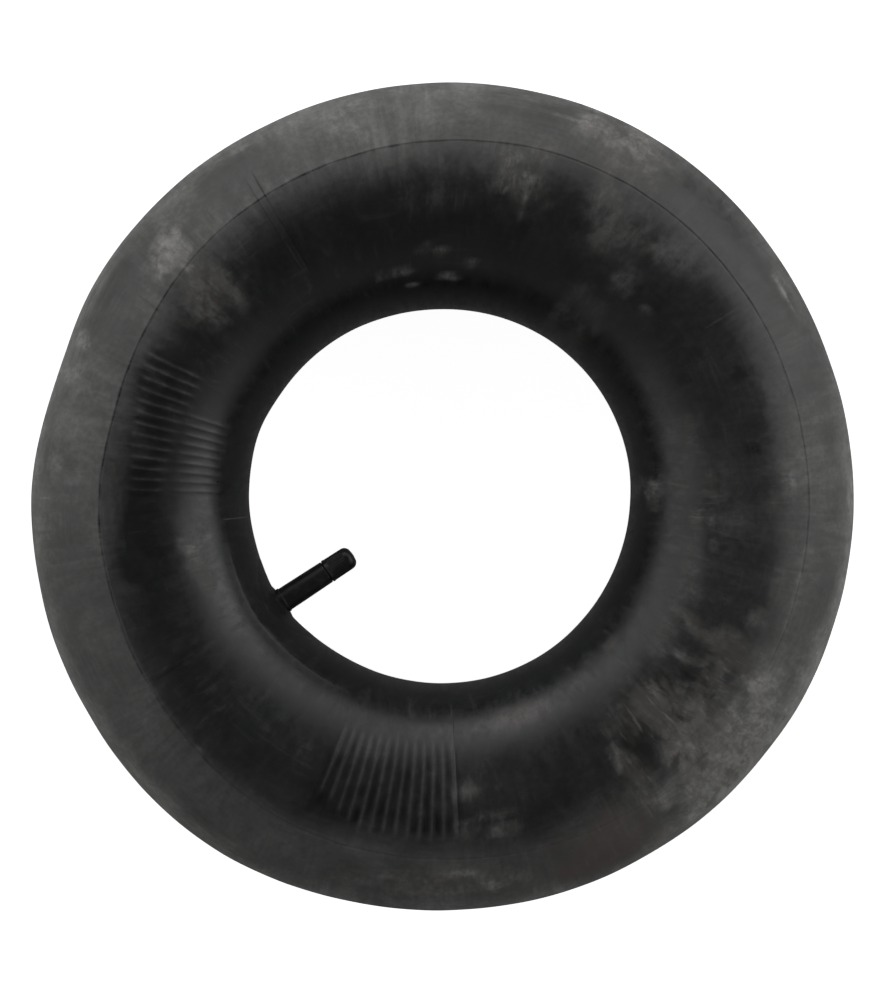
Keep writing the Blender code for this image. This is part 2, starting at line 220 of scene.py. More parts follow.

# Dust and dirt, and a few painted highlights on the inner slope: (ring, section, half its size along each,
# talc, stain, warmth).
SMUDGES = (
    (178.5, 32, 3, 9, 0.4, 0.5, 0.0),
    (150, 26, 11, 9, 0.2, 0.4, 0.0),
    (-151, 33, 6.5, 27, 0.85, 0.5, 0.8),
    (-144, 33, 1.2, 10, 0.5, 0.5, 0.1),
    (-145.5, 14, 2.5, 10, 0.8, 0.3, 0.1),
    (-144, 50, 2, 9, 0.4, 0.4, 0.1),
    (-139, 60, 4, 5, 0.2, 0.4, 0.2),
    (-138.7, 91, 0.9, 18, 0.32, 0.0, 0.1),
    (-135.5, 71, 4.5, 8, 0.4, 0.45, 0.1),
    (-138, 86, 5, 18, 0.36, 0.3, 0.1),
    (-135, 84, 3, 12, 0.25, 0.0, 0.1),
    (-155, 84, 7, 16, 0.3, 0.1, 0.2),
    (-168.5, 76, 4.5, 11, 0.28, 0.0, 0.0),
    (-163.5, 104, 2.6, 8, 0.32, 0.0, 0.0),
    (-162, 150, 5, 36, 0.2, 0.12, 0.2),
    (-155.5, 155, 2.2, 32, 0.25, 0.0, 0.1),
    (-171, 108, 1.6, 3, 0.45, 0.3, 0.0),
    (156, 69, 14, 8, 0.25, 0.0, 0.0),
    (155.5, 88, 1.0, 3, -0.35, 0.3, 0.0),
    (169, 85, 1.3, 3, -0.3, 0.0, 0.0),
    (149, 164, 4, 14, 0.35, 0.0, 0.0),
    (163, 168, 7, 5, 0.25, 0.0, 0.0),
    (152, 122, 12, 12, 0.16, 0.1, 0.0),
    (-125, 40, 5, 18, 0.3, 0.0, 0.1),
    (-109, 42, 4.5, 20, 0.6, 0.3, 0.15),
    (-113, 134, 3.6, 2.6, 0.7, 0.5, 0.0),
    (-125, 140, 3.0, 3.2, 0.9, 0.5, 0.0),
    (-130, 130, 1.8, 2.4, 0.7, 0.5, 0.0),
    (-123.4, 124, 2.4, 2.4, 0.6, 0.5, 0.0),
    (-115.6, 144, 1.8, 1.8, 0.6, 0.4, 0.0),
    (-107.5, 134, 1.6, 2.0, 0.6, 0.5, 0.0),
    (-118.6, 121.5, 3.0, 2.0, 0.5, 0.4, 0.0),
    (-122, 95, 7, 8, 0.08, 0.1, 0.0),
    (-75, 60, 4.4, 12, 1.2, 0.8, 0.4),
    (-77.3, 55, 1.3, 3.5, 0.7, 0.8, 0.2),
    (-73.2, 62, 1.6, 3.2, 0.7, 0.8, 0.2),
    (-76.6, 67, 1.5, 2.6, 0.6, 0.8, 0.2),
    (-79, 40, 5.5, 18, 0.4, 0.15, 0.2),
    (-75, 92, 5.5, 17, 0.5, 0.25, 0.3),
    (-24.5, 95, 10, 13, -0.3, 0.0, 0.0),
    (-44, 34, 14, 20, 0.2, 0.1, 0.0),
    (-57, 36, 1.6, 8, 0.7, 0.3, 0.0),
    (-51.5, 37, 1.6, 7, 0.5, 0.3, 0.0),
    (-38, 42, 2.0, 7, 0.4, 0.2, 0.0),
    # These three are painted highlight on the inner slope, laid on as talc.
    (-22, 120, 4, 6, 0.5, 0.3, 0.0),
    (-13.5, 124, 4, 5, 0.4, 0.3, 0.0),
    (-24, 122, 10, 10, 0.16, 0.1, 0.0),
    (56, 46, 9, 12, 0.45, 0.7, 0.25),
    (43, 42, 3, 4, 0.3, 0.5, 0.1),
    (69, 44, 2, 6, 0.35, 0.6, 0.1),
    (61, 79, 2.2, 4, 0.35, 0.5, 0.0),
    (67.5, 76, 2.6, 3, 0.4, 0.5, 0.0),
    (66, 84, 3.4, 2.2, 0.3, 0.5, 0.0),
    (62, 98, 2.5, 4, 0.3, 0.4, 0.0),
    (82, 46, 8, 19, -0.1, 0.35, 2.0),
    (105, 44, 13, 32, 0.98, 0.75, 0.4),
    (105, 78, 9, 20, 0.36, 0.75, 0.2),
    (92, 72, 2.2, 26, 0.25, 0.8, 0.2),
    (119, 78, 3, 26, 0.3, 0.8, 0.2),
    (100, 96, 7, 11, 0.12, 0.7, 0.2),
    (107.5, 100, 1.8, 5, -0.3, 0.3, 0.0),
    (104, 101, 1.2, 4, 0.45, 0.4, 0.0),
    (113, 97, 1.0, 9, 0.5, 0.4, 0.0),
    (90.5, 88, 0.9, 8, 0.6, 0.4, 0.0),
    (112, 93, 1.8, 6, -0.3, 0.3, 0.0),
    (94, 90, 1.4, 8, -0.3, 0.3, 0.0),
    # Painted highlight on the inner slope, laid on as talc.
    (122, 120, 24, 12, 0.17, 0.1, 0.0),
    (76, 131, 7, 8, 0.12, 0.1, 0.9),
    (106, 136, 2.5, 3, 0.3, 0.0, 0.8),
    (12.7, 72, 0.7, 1.2, 0.4, 0.3, 0.0),
    (131.5, 60, 6.5, 1.3, 0.4, 0.4, 0.0),
    (122, 20, 24, 14, 0.45, 0.1, 0.0),
    (146, 100, 9, 9, 0.12, 0.1, 0.0),
    (12, 20, 30, 16, 0.25, 0.2, 0.1),
    (142.5, 119, 2.2, 3.5, 0.25, 0.5, 0.0),
    (137, 108, 1.6, 2.5, 0.3, 0.5, 0.0),
    (149.5, 70, 1.6, 3, 0.4, 0.4, 0.0),
    (150, 137, 2.4, 13, 0.3, 0.4, 0.0),
    (155, 124, 3, 5, 0.22, 0.4, 0.0),
    (132, 72, 3, 4, 0.3, 0.5, 0.0),
    (125, 76, 2.2, 6, 0.3, 0.5, 0.0),
    # Painted highlight on the inner slope, laid on as talc.
    (128, 116, 16, 8, 0.17, 0.1, 0.0),
    (147, 76, 8, 8, 0.15, 0.3, 0.0),
    (147, 112, 5, 5, 0.2, 0.4, 0.0),
    (147, 147, 4, 8, 0.3, 0.4, 0.0),
    (161, 118, 4, 4, 0.22, 0.4, 0.0),
    (48.6, 50, 2.2, 3, 0.6, 0.6, 0.0),
    (64.5, 41, 2.0, 5, 0.7, 0.6, 0.0),
    (58, 53, 3.5, 1.6, 0.6, 0.6, 0.0),
    (176.5, 37, 3.5, 1.3, 0.9, 0.3, 0.0),
    (-143, 38, 4.5, 1.3, 0.8, 0.4, 0.0),
    (-92, 30, 3.5, 4, 0.55, 0.6, 0.1),
    (-101, 28, 2, 4, 0.4, 0.6, 0.0),
)

# The patch round the stem's root: its rows, as mm from the stem, its soft edge, and its rise to the collar.
PAD_STEPS = 128
PAD_REACHES = (0.02, 4, 6.3, 6.8, 7.3, 7.8, 8.4, 9.2, 10.2, 11.2, 13, 15.5, 18, 20, 21, 22, 22.6, 23)
PAD_RADIUS = 23 * MM
PAD_EDGE = 2.5 * MM
PAD_LIFT = 0.13 * MM
PAD_TUCK = 0.02 * MM
PAD_DEPTH = 0.5 * MM
PAD_RISE = 0.8 * MM
PAD_RISE_RADIUS = 10.5 * MM
PAD_RISE_WIDTH = 4.2 * MM

# The stem's rubber: the collar, the root, and the jacket with its spigot inside the cap's mouth.
STEM_STEPS = 96
ROOT_FOOT = -3.4 * MM
COLLAR_RADIUS = 6.15 * MM
COLLAR_FLARE = 0.7 * MM
COLLAR_EDGE = 0.3 * MM
COLLAR_TOP = 1.0 * MM
ROOT_FILLET = 0.1 * MM
ROOT_RADIUS = 5.75 * MM
FLEX_HEIGHT = 4.6 * MM
JACKET_BLEND = 8.8 * MM
JACKET_SHOULDER = 23.9 * MM
JACKET_EDGE = 0.6 * MM
JACKET_TOP = 24.6 * MM
TOP_RADIUS = 5.5 * MM
BORE_RADIUS = 3.62 * MM
BORE_FLOOR = 23 * MM
SPIGOT_RADIUS = 4.15 * MM
SPIGOT_TOP = 25.7 * MM
SEAM_HEIGHT = 0.07 * MM
SEAM_WIDTH = 0.035
SEAM_FADE = 3 * MM

# The brass insert and its thread.
INSERT_STEPS = 64
INSERT_FOOT = 9 * MM
FLANGE_RADIUS = 4.3 * MM
SHANK_RADIUS = 3.5 * MM
INSERT_BORE = 2.7 * MM
BORE_END_RADIUS = 1.6 * MM
TIP = 37.2 * MM
THREAD_RADIUS = 0.305 * INCH / 2
THREAD_PITCH = INCH / 32
THREAD_DEPTH = 0.42 * MM
THREAD_SPAN = (26.6 * MM, 36.9 * MM)
THREAD_FADE = 0.5 * MM
THREAD_INSIDE = 3.4 * MM

# The cap, with its grip flutes and its inner thread.
CAP_STEPS = 192
CAP_MOUTH = 24.8 * MM
CAP_END = 39.3 * MM
CAP_CORNER = 3.4 * MM
CAP_WIDE = 5.7 * MM
CAP_NARROW = 5.45 * MM
CAP_BORE = THREAD_RADIUS + 0.1 * MM
CAP_ROOF = TIP + 0.9 * MM
CAP_ROOF_RADIUS = 3.4 * MM
CAP_RECESS = 4.4 * MM
CAP_FLUTES = 32
FLUTE_DEPTH = 0.16 * MM
FLUTE_SPAN = (26.6 * MM, 35.4 * MM)
FLUTE_FADE = 0.8 * MM
FLUTE_INSIDE = 5.2 * MM
CAP_THREAD_DEPTH = 0.3 * MM
CAP_THREAD_SPAN = (28 * MM, 36.4 * MM)
CAP_THREAD_FADE = 0.4 * MM

# The core's coil.
SPRING_TURNS = 6
SPRING_STEPS = 28
WIRE_RADIUS = 0.14 * MM
WIRE_SIDES = 10

# The view: straight down, turned so that the stem points up and to the right.
CAMERA_HEIGHT = 1.5
CAMERA_TURN = math.radians(-33.25)
FRAME_HEIGHT = 0.470
SENSOR = 36.0
FRAME_OFFSET = (0.0002, -0.0016)

# The floor is plain, with a soft shade painted under the ring, which fades away over this span either side
# of the section's middle.
FLOOR_SIZE = 12
FLOOR_DROP = 0.2 * MM
FLOOR_GLOW = 0.95
FLOOR_SHADE = 0.2
SHADE_SPAN = (6 * MM, 50 * MM)

# Brightness of the studio. Directions are degrees in the picture, counter-clockwise from its right. The
# windows are (direction, more light).
BRIGHT_DIRECTION = 90
BRIGHT_SIDE = 1.25
DARK_SIDE = 0.17
OVERHEAD = 0.08
BOUNCE = 0.1
WINDOWS = ((16, 1.0), (108, 0.9))


def smooth(x):
    """0 below 0, 1 above 1, and eased between them."""
    x = np.clip(x, 0, 1)
    return x * x * (3 - 2 * x)


def bell(x, spread):
    return np.exp(-0.5 * (x / spread) ** 2)


def turn(angle):
    """The same angle, between -180 and 180 degrees."""
    return (np.asarray(angle) + 180) % 360 - 180


def window(x, low, high, soft):
    """1 between low and high and 0 outside them, eased inwards over the soft width."""
    return smooth((x - low) / soft) * smooth((high - x) / soft)


def patches(base, bumps, ring):
    """The base value with soft bumps, each (ring, spread, more or less)."""
    return base + sum(more * bell(turn(ring - at), spread) for at, spread, more in bumps)


def bulge(bulges, ring):
    return MM * patches(0, bulges, ring)


def mould_section(ring):
    """The section angle of the mould line, eased between its points."""
    angles, sections = zip(*MOULD_LINE)
    every = np.arange(-180.0, 180.0)
    line = np.interp(every, angles, sections, period=360)
    shares = bell(turn(every), MOULD_EASE)
    eased = np.fft.ifft(np.fft.fft(line) * np.fft.fft(np.roll(shares, -180))).real / shares.sum()
    return np.interp(ring, every, eased, period=360)


def place(ring, section, lift=0.0):
    """Points on the tube's surface, or lifted off it."""
    outer, hole = bulge(OUTER_BULGES, ring), bulge(HOLE_BULGES, ring)
    across, round_it = np.radians(section), np.radians(ring + 180)
    centre = RING_RADIUS + (outer + hole) / 2
    reach = centre + (SECTION_RADIUS + (outer - hole) / 2 + lift) * np.cos(across)
    height = MID_HEIGHT + (SECTION_RADIUS + lift) * np.sin(across)
    return np.stack([reach * np.cos(round_it), reach * np.sin(round_it), height], axis=-1)


def noise_at(points, size, seed=0):
    """Smooth noise between about -1 and 1, with swells of the given size."""
    flat = points.reshape(-1, 3) / size + seed
    values = [noise.noise(Vector(point)) for point in flat]
    return np.array(values).reshape(points.shape[:-1]) * NOISE_GAIN


def swell(points):
    return sum(height * noise_at(points, size) for size, height in SWELLS)


def rib_number(ring):
    """The nearest rib, and how far away it is, in degrees."""
    past_first = np.abs(ring) - RIB_START
    number = np.clip(np.round(past_first / RIB_PITCH), 0, RIB_COUNT - 1)
    return number, past_first - number * RIB_PITCH


def ribs(ring, section, width):
    """Each rib as a soft stripe of the given width, over its length."""
    number, away = rib_number(ring)
    gap = away * np.radians(1) * (RING_RADIUS + SECTION_RADIUS * np.cos(np.radians(section)))
    up = np.abs(section)
    low, high = RIBS_AHEAD
    ahead = window(up, low + 3 * np.clip(4 - number, 0, 4), high, 5)
    low, high = RIBS_BEHIND
    behind = window(up, low - 0.8 * number, high + 0.4 * number, 5)
    inwards = 0.7 * window(up, *RIBS_INWARDS, 6) * (number < INWARD_RIBS)
    return bell(gap, width) * np.where(ring > 0, ahead, behind + inwards)


def rib_gaps(ring, section):
    """The strips of painted shade between the ribs, which run a little past the outermost ones."""
    number, away = rib_number(ring)
    along = smooth((1.6 - np.abs(away)) / 0.6)
    up = np.abs(section)
    ahead = window(up, *GAPS_AHEAD, 6)
    low, high = GAPS_BEHIND
    behind = window(up, low - 0.8 * number, high + 0.5 * number, 7)
    inwards = 0.3 * window(up, *GAPS_INWARDS, 6) * (number < INWARD_RIBS)
    return along * np.where(ring > 0, ahead, behind + inwards)


def marks(ring, section):
    """The height of the fine marks, and how light or dark they are."""
    height, shade = np.zeros_like(section), np.zeros_like(section)
    for at, low, high, rise, light in MARKS:
        across = bell(turn(ring - at), MARK_WIDTH) * window(section, low, high, MARK_FADE)
        height += rise * MM * across
        shade += light * across
    return height, shade


def ridge(ring, section):
    along = window(turn(ring), *RIDGE_SPAN, RIDGE_FADE)
    return bell(np.abs(section) - RIDGE_SECTION, RIDGE_WIDTH) * along


def close_angles(base, groups, gap):
    """The base angles, without those nearer than gap to a closer one, and the closer ones."""
    close = {round(float(turn(at + offset)), 4) for at, offsets in groups for offset in offsets}
    kept = [angle for angle in base if min(abs(turn(angle - other)) for other in close) > gap]
    return np.array(sorted([*kept, *close]))


def ring_angles():
    ribs_at = [side * (RIB_START + RIB_PITCH * i) for side in (-1, 1) for i in range(RIB_COUNT)]
    groups = [(at, RIB_COLUMNS) for at in ribs_at] + [(mark[0], MARK_COLUMNS) for mark in MARKS]
    return close_angles(np.arange(-180, 180, RING_STEP), groups, RING_GAP)


def section_angles():
    groups = [(side * MOULD_MEAN, MOULD_ROWS) for side in (-1, 1)]
    groups += [(side * RIDGE_SECTION, RIDGE_ROWS) for side in (-1, 1)]
    return close_angles(np.arange(-180, 180, SECTION_STEP), groups, SECTION_GAP)


def fades_out(up, edge):
    end, over = edge
    return smooth((end - up) / over)


def fades_in(up, edge):
    start, over = edge
    return smooth((up - start) / over)


def film(ring, section, mould):
    """The even film of talc, thick outside the mould lines and fading away inside them, and a painted
    highlight at the rim.
    """
    up = np.abs(section)
    inside = smooth((up - mould) / patches(LINE_FADE, FADE_PATCHES, ring) + FADE_LEAD)
    outer = patches(OUTER_FILM, OUTER_PATCHES, ring)
    inner = outer * patches(INNER_SHARE, INNER_PATCHES, ring)
    inner = inner * np.clip(1 - (up - mould) / INNER_FADE, 0, 1) ** INNER_CURVE
    haze = patches(HAZE, HAZE_PATCHES, ring) * fades_out(up, HAZE_EDGE)
    # The painted highlight towards the outermost line.
    rim_highlight = patches(RIM_HIGHLIGHT, RIM_HIGHLIGHT_PATCHES, ring) * fades_out(up, RIM_HIGHLIGHT_EDGE)
    hole = patches(0, HOLE_PATCHES, ring) * fades_in(up, HOLE_EDGE)
    return (1 - inside) * (outer + rim_highlight) + inside * np.maximum(inner, haze) + hole


def smudges(ring, section, points):
    """Talc, stain and warmth at each point, from the smudges and from the floor's dust below. A few smudges
    are painted highlights.
    """
    wobble = noise_at(points, 14 * MM, seed=5) * 0.6 + noise_at(points, 5 * MM, seed=9) * 0.45
    sums = np.zeros((3, *ring.shape))
    for at, up, along, over, *shares in SMUDGES:
        far = np.hypot(turn(ring - at) / along, (section - up) / over)
        there = 1 - smooth((far + wobble * 0.55 - 0.4) / 0.95)
        sums += np.array(shares).reshape(3, 1, 1) * there
    talc, stain, warmth = sums
    dust = smooth((noise_at(points, 45 * MM, seed=21) + wobble * 0.4 - 0.15) / 0.5)
    dust = dust * fades_in(-section, DUST_EDGE)
    return talc + DUST_TALC * dust, np.maximum(stain, 0) + DUST_STAIN * dust, warmth


def made_mesh(name, points, faces):
    mesh = bpy.data.meshes.new(name)
    mesh.from_pydata([tuple(point) for point in points], [], faces)
    mesh.validate()
    mesh.shade_smooth()
    obj = bpy.data.objects.new(name, mesh)
    bpy.context.scene.collection.objects.link(obj)
    return obj


def set_attribute(mesh, name, values, kind="FLOAT", field="value"):
    attribute = mesh.attributes.new(name, kind, "POINT")
    attribute.data.foreach_set(field, np.asarray(values, np.float32).ravel())


def relief(ring, section, points, from_line):
    """The height of everything raised or sunken on the tube's skin."""
    lift = swell(points) - MOULD_GROOVE * bell(from_line, GROOVE_WIDTH)
    lift += MOULD_LIP * bell(from_line + LIP_PLACE, LIP_WIDTH)
    lift += RIB_HEIGHT * ribs(ring, section, RIB_WIDTH) + marks(ring, section)[0]
    return lift + RIDGE_HEIGHT * ridge(ring, section)


def line_shades(ring, section, points, from_line):
    """How light, or below 0 how dark, the mould line, marks, ridge and ribs are, with painted shade in the
    groove, beside the ridge and between the ribs.
    """
    # Painted shade along the mould groove, made patchy along it.
    scuffed = 0.7 + 0.5 * noise_at(points, 9 * MM, seed=31)
    groove_shade = patches(GROOVE_SHADE, GROOVE_SHADE_PATCHES, ring) * bell(from_line, GROOVE_SHADE_WIDTH)
    lines = marks(ring, section)[1] - groove_shade * scuffed + LIP_DUST * bell(from_line + DUST_PLACE, DUST_WIDTH)
    patchy = np.clip(0.55 + 1.1 * noise_at(points, 11 * MM, seed=61), 0, 1.2)
    up = np.abs(section)
    # Dust on the ridge, and painted shade along the flank on each side of it.
    lines += (RIDGE_DUST * ridge(ring, up) - ridge(ring, up - RIDGE_FLANK)) * patchy
    lines -= 0.7 * ridge(ring, up + RIDGE_FLANK)
    # Dust on the ribs, and painted shade in the gaps between them.
    dusty = ribs(ring, section, 1.5 * RIB_WIDTH)
    broken = np.clip(0.85 + 0.9 * noise_at(points, 8 * MM, seed=51), 0, 1.3)
    return lines + RIB_DUST * dusty - RIB_GAP_SHADE * rib_gaps(ring, section) * (1 - dusty) * broken


def paint(mesh, ring, section, points, mould, from_line):
    """Store what the rubber's material reads at each point."""
    uneven = 1 + 0.16 * noise_at(points, 34 * MM, seed=3)
    set_attribute(mesh, "film", film(ring, section, mould) * uneven)
    for name, values in zip(("talc", "stain", "warmth"), smudges(ring, section, points)):
        set_attribute(mesh, name, values)
    set_attribute(mesh, "lines", line_shades(ring, section, points, from_line))
    round_it = np.radians(ring)
    flow = [RING_RADIUS * np.cos(round_it), RING_RADIUS * np.sin(round_it)]
    flow.append(SECTION_RADIUS * np.radians(np.abs(section)))
    set_attribute(mesh, "flow", np.stack(flow, axis=-1), "FLOAT_VECTOR", "vector")


def make_tube():
    """The tube as one closed skin. Its rows follow the mould line, so that the groove stays crisp."""
    ring, row = np.meshgrid(ring_angles(), section_angles(), indexing="ij")
    mould = mould_section(ring)
    near = smooth(1 - np.abs(np.abs(row) - MOULD_MEAN) / MOULD_REACH)
    section = row + np.sign(row) * (mould - MOULD_MEAN) * near
    even = place(ring, section)
    from_line = (np.abs(section) - mould) * np.radians(1) * SECTION_RADIUS
    from_line = from_line + MOULD_WANDER * noise_at(even, 12 * MM, seed=41)
    points = place(ring, section, relief(ring, section, even, from_line))
    points[..., 2] = np.maximum(points[..., 2], 0)

    corner = np.arange(ring.size).reshape(ring.shape)
    after, above = np.roll(corner, -1, axis=0), np.roll(corner, -1, axis=1)
    both = np.roll(after, -1, axis=1)
    faces = np.stack([corner, after, both, above], axis=-1).reshape(-1, 4).tolist()
    tube = made_mesh("tube_skin", points.reshape(-1, 3), faces)
    paint(tube.data, ring, section, points, mould, from_line)
    return tube


def valve_points(radius, angle, height):
    """Points about the stem, which points along +X from the hole's side."""
    down, side = radius * np.cos(angle), radius * np.sin(angle)
    return np.stack(np.broadcast_arrays(height - HOLE_RADIUS, side, MID_HEIGHT - down), axis=-1)


def sheet(corner):
    """The faces between each row of corners and the next, and from the last row to the first."""
    after = np.roll(corner, -1, axis=0)
    return np.stack([corner[:, :-1], corner[:, 1:], after[:, 1:], after[:, :-1]], axis=-1).reshape(-1, 4)


def turned(name, profile, steps=STEM_STEPS, carve=None):
    """A closed solid from (radius, height) points that start and end on the axis, carved or plain."""
    radius, height = np.array(profile[1:-1]).T
    angle = np.arange(steps) * 2 * math.pi / steps
    radius, angle = np.meshgrid(radius, angle)
    height = np.broadcast_to(height, radius.shape)
    if carve:
        radius = radius - carve(radius, angle, height)
    points = valve_points(radius, angle, height).reshape(-1, 3)
    poles = [valve_points(0.0, 0.0, profile[i][1]) for i in (0, -1)]
    corner = np.arange(radius.size).reshape(radius.shape)
    after = np.roll(corner, -1, axis=0)
    first, last = radius.size, radius.size + 1
    faces = sheet(corner).tolist()
    faces += [(first, int(corner[i, 0]), int(after[i, 0])) for i in range(steps)]
    faces += [(last, int(after[i, -1]), int(corner[i, -1])) for i in range(steps)]
    made = made_mesh(name, np.vstack([points, poles]), faces)
    made.data.set_sharp_from_angle(angle=SHARP_ANGLE)
    return made


def arc(centre, radius, start, end, points=6):
    """(radius, height) points of an arc, with angles in degrees from outwards towards the tip."""
    angles = np.radians(np.linspace(start, end, points))
    return [(centre[0] + radius * math.cos(a), centre[1] + radius * math.sin(a)) for a in angles]


def straight(start, end, step):
    """(radius, height) points from start to end, about a step apart."""
    count = max(1, round(math.dist(start, end) / step))
    start, along = np.array(start), np.array(end) - np.array(start)
    return [tuple(start + along * i / count) for i in range(count + 1)]


def make_pad():
    """The patch vulcanised round the stem's root. It follows the tube's surface and rises to the collar."""
    angle = np.arange(PAD_STEPS) * 2 * math.pi / PAD_STEPS
    reach, angle = np.meshgrid(np.array(PAD_REACHES) * MM, angle)
    side, up = reach * np.cos(angle), reach * np.sin(angle)
    section = 180 - np.degrees(np.arcsin(up / SECTION_RADIUS))
    distance = RING_RADIUS + SECTION_RADIUS * np.cos(np.radians(section))
    ring = np.degrees(np.arcsin(-side / distance))

    even = place(ring, section)
    edge = smooth((PAD_RADIUS - reach) / PAD_EDGE)
    rise = PAD_RISE * smooth((PAD_RISE_RADIUS - reach) / PAD_RISE_WIDTH) ** 2
    top = place(ring, section, swell(even) + PAD_LIFT * edge + rise - PAD_TUCK * (1 - edge))
    foot = place(ring, section, swell(top) - PAD_DEPTH)

    corner = np.arange(reach.size).reshape(reach.shape)
    after = np.roll(corner, -1, axis=0)
    below = corner + reach.size
    faces = sheet(corner).tolist() + sheet(below)[:, ::-1].tolist()
    outermost = zip(corner[:, -1].tolist(), after[:, -1].tolist())
    faces += [(a, a + reach.size, b + reach.size, b) for a, b in outermost]
    faces += [corner[::-1, 0].tolist(), below[:, 0].tolist()]
    return made_mesh("valve_patch", np.vstack([top.reshape(-1, 3), foot.reshape(-1, 3)]), faces)


def make_root():
    """The collar and the foot of the stem, between the tube and the neck."""
    wide, top = COLLAR_RADIUS, COLLAR_TOP
    flare = arc((wide + COLLAR_FLARE, ROOT_FOOT + 1.6 * MM), COLLAR_FLARE, -120, -180)
    flank = straight((wide, ROOT_FOOT + 1.8 * MM), (wide, top - 0.35 * MM), 0.4 * MM)
    edge = arc((wide - COLLAR_EDGE, top - COLLAR_EDGE), COLLAR_EDGE, 0, 90)
    inner = arc((ROOT_RADIUS + ROOT_FILLET, top + ROOT_FILLET), ROOT_FILLET, -90, -180, 4)[1:]
    stem = straight((ROOT_RADIUS, top + 0.2 * MM), (ROOT_RADIUS, FLEX_HEIGHT), 0.25 * MM)
    foot = [(0, ROOT_FOOT), (flare[0][0], ROOT_FOOT)]
    profile = [*foot, *flare, *flank, *edge, *inner, *stem, (0, FLEX_HEIGHT)]
    return turned("stem_root", profile[::-1])


def mould_seams(radius, angle, height):
    """Two fine seams along the stem, where the halves of its mould met."""
    above = smooth((height - FLEX_HEIGHT) / SEAM_FADE)
    return -SEAM_HEIGHT * bell(np.abs(np.sin(angle)), SEAM_WIDTH) * above


def make_jacket():
    """The stem's rubber over the insert, up to the spigot that the cap's mouth covers."""
    low, high = (ROOT_RADIUS - 0.05 * MM, JACKET_BLEND), (TOP_RADIUS, JACKET_SHOULDER)
    side = straight((ROOT_RADIUS, FLEX_HEIGHT), low, 0.3 * MM)
    side += straight((ROOT_RADIUS - 0.06 * MM, JACKET_BLEND + 0.4 * MM), high, 1.2 * MM)
    edge = arc((TOP_RADIUS - JACKET_EDGE, JACKET_TOP - JACKET_EDGE), JACKET_EDGE, 0, 90)
    spigot = [(SPIGOT_RADIUS, JACKET_TOP), (SPIGOT_RADIUS, SPIGOT_TOP - 0.2 * MM)]
    spigot += [(SPIGOT_RADIUS - 0.2 * MM, SPIGOT_TOP), (BORE_RADIUS, SPIGOT_TOP)]
    bore = [(BORE_RADIUS, BORE_FLOOR), (0, BORE_FLOOR)]
    profile = [(0, FLEX_HEIGHT), *side, *edge, *spigot, *bore]
    return turned("stem_cover", profile[::-1], carve=mould_seams)


def thread_phase(angle, height):
    """How far each point is along the pitch of a right-hand thread, from 0 to 1."""
    return (height / THREAD_PITCH - angle / (2 * math.pi)) % 1


def thread(radius, angle, height):
    """The insert's thread, cut into its side, with its crest at the CAD thread's radius."""
    groove = np.clip(np.abs(thread_phase(angle, height) - 0.5) * 2.6 - 0.3, 0, 1)
    span = window(height, *THREAD_SPAN, THREAD_FADE)
    return THREAD_DEPTH * groove * span * (radius > THREAD_INSIDE)


def make_insert():
    """The brass insert: a flange and a shank in the jacket, then the thread, and a bore for the core."""
    side = [(0, INSERT_FOOT), (FLANGE_RADIUS, INSERT_FOOT), (FLANGE_RADIUS, INSERT_FOOT + 1 * MM)]
    side += [(SHANK_RADIUS, INSERT_FOOT + 1.02 * MM), (SHANK_RADIUS, THREAD_SPAN[0] - 0.6 * MM)]
    low, high = THREAD_SPAN[0] - 0.1 * MM, TIP - 0.45 * MM
    side += straight((THREAD_RADIUS, low), (THREAD_RADIUS, high), 0.1 * MM)
    mouth = [(THREAD_RADIUS - 0.45 * MM, TIP), (INSERT_BORE + 0.2 * MM, TIP), (INSERT_BORE, TIP - 0.2 * MM)]
    inside = [(INSERT_BORE, TIP - 8.4 * MM), (BORE_END_RADIUS, TIP - 10.4 * MM), (0, TIP - 10.4 * MM)]
    return turned("brass_insert", (side + mouth + inside)[::-1], steps=INSERT_STEPS, carve=thread)


def make_spring():
    """The core's coil, between the barrel's floor and the pin's collar."""
    low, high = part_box("core_spring")
    last = SPRING_TURNS * SPRING_STEPS
    turned_by = np.arange(last + 1) * 2 * math.pi / SPRING_STEPS
    middle = np.linspace(low.x + WIRE_RADIUS, high.x - WIRE_RADIUS, last + 1) + HOLE_RADIUS
    round_wire = np.arange(WIRE_SIDES) * 2 * math.pi / WIRE_SIDES
    turned_by, side = np.meshgrid(turned_by, round_wire, indexing="ij")
    radius = (high.y - low.y) / 2 - WIRE_RADIUS + WIRE_RADIUS * np.cos(side)
    points = valve_points(radius, turned_by, middle[:, None] + WIRE_RADIUS * np.sin(side))
    corner = np.arange(radius.size).reshape(radius.shape)
    after = np.roll(corner, -1, axis=1)
    faces = np.stack([corner[:-1], corner[1:], after[1:], after[:-1]], axis=-1).reshape(-1, 4).tolist()
    faces += [corner[0].tolist(), corner[-1, ::-1].tolist()]
    return made_mesh("core_coil", points.reshape(-1, 3), faces)


def flutes(radius, angle, height):
    """Shallow grip flutes round the cap's side."""
    grooves = 0.5 - 0.5 * np.cos(angle * CAP_FLUTES)
    span = window(height, *FLUTE_SPAN, FLUTE_FADE)
    return FLUTE_DEPTH * grooves**2 * span * (radius > FLUTE_INSIDE)


def cap_carving(radius, angle, height):
    """The flutes outside, and inside a thread that stands into the bore."""
    crest = np.clip(1 - np.abs(thread_phase(angle, height) - 0.5) * 4, 0, 1)
    in_bore = np.abs(radius - CAP_BORE) < 0.02 * MM
    span = window(height, *CAP_THREAD_SPAN, CAP_THREAD_FADE)
    return flutes(radius, angle, height) + CAP_THREAD_DEPTH * crest * in_bore * span


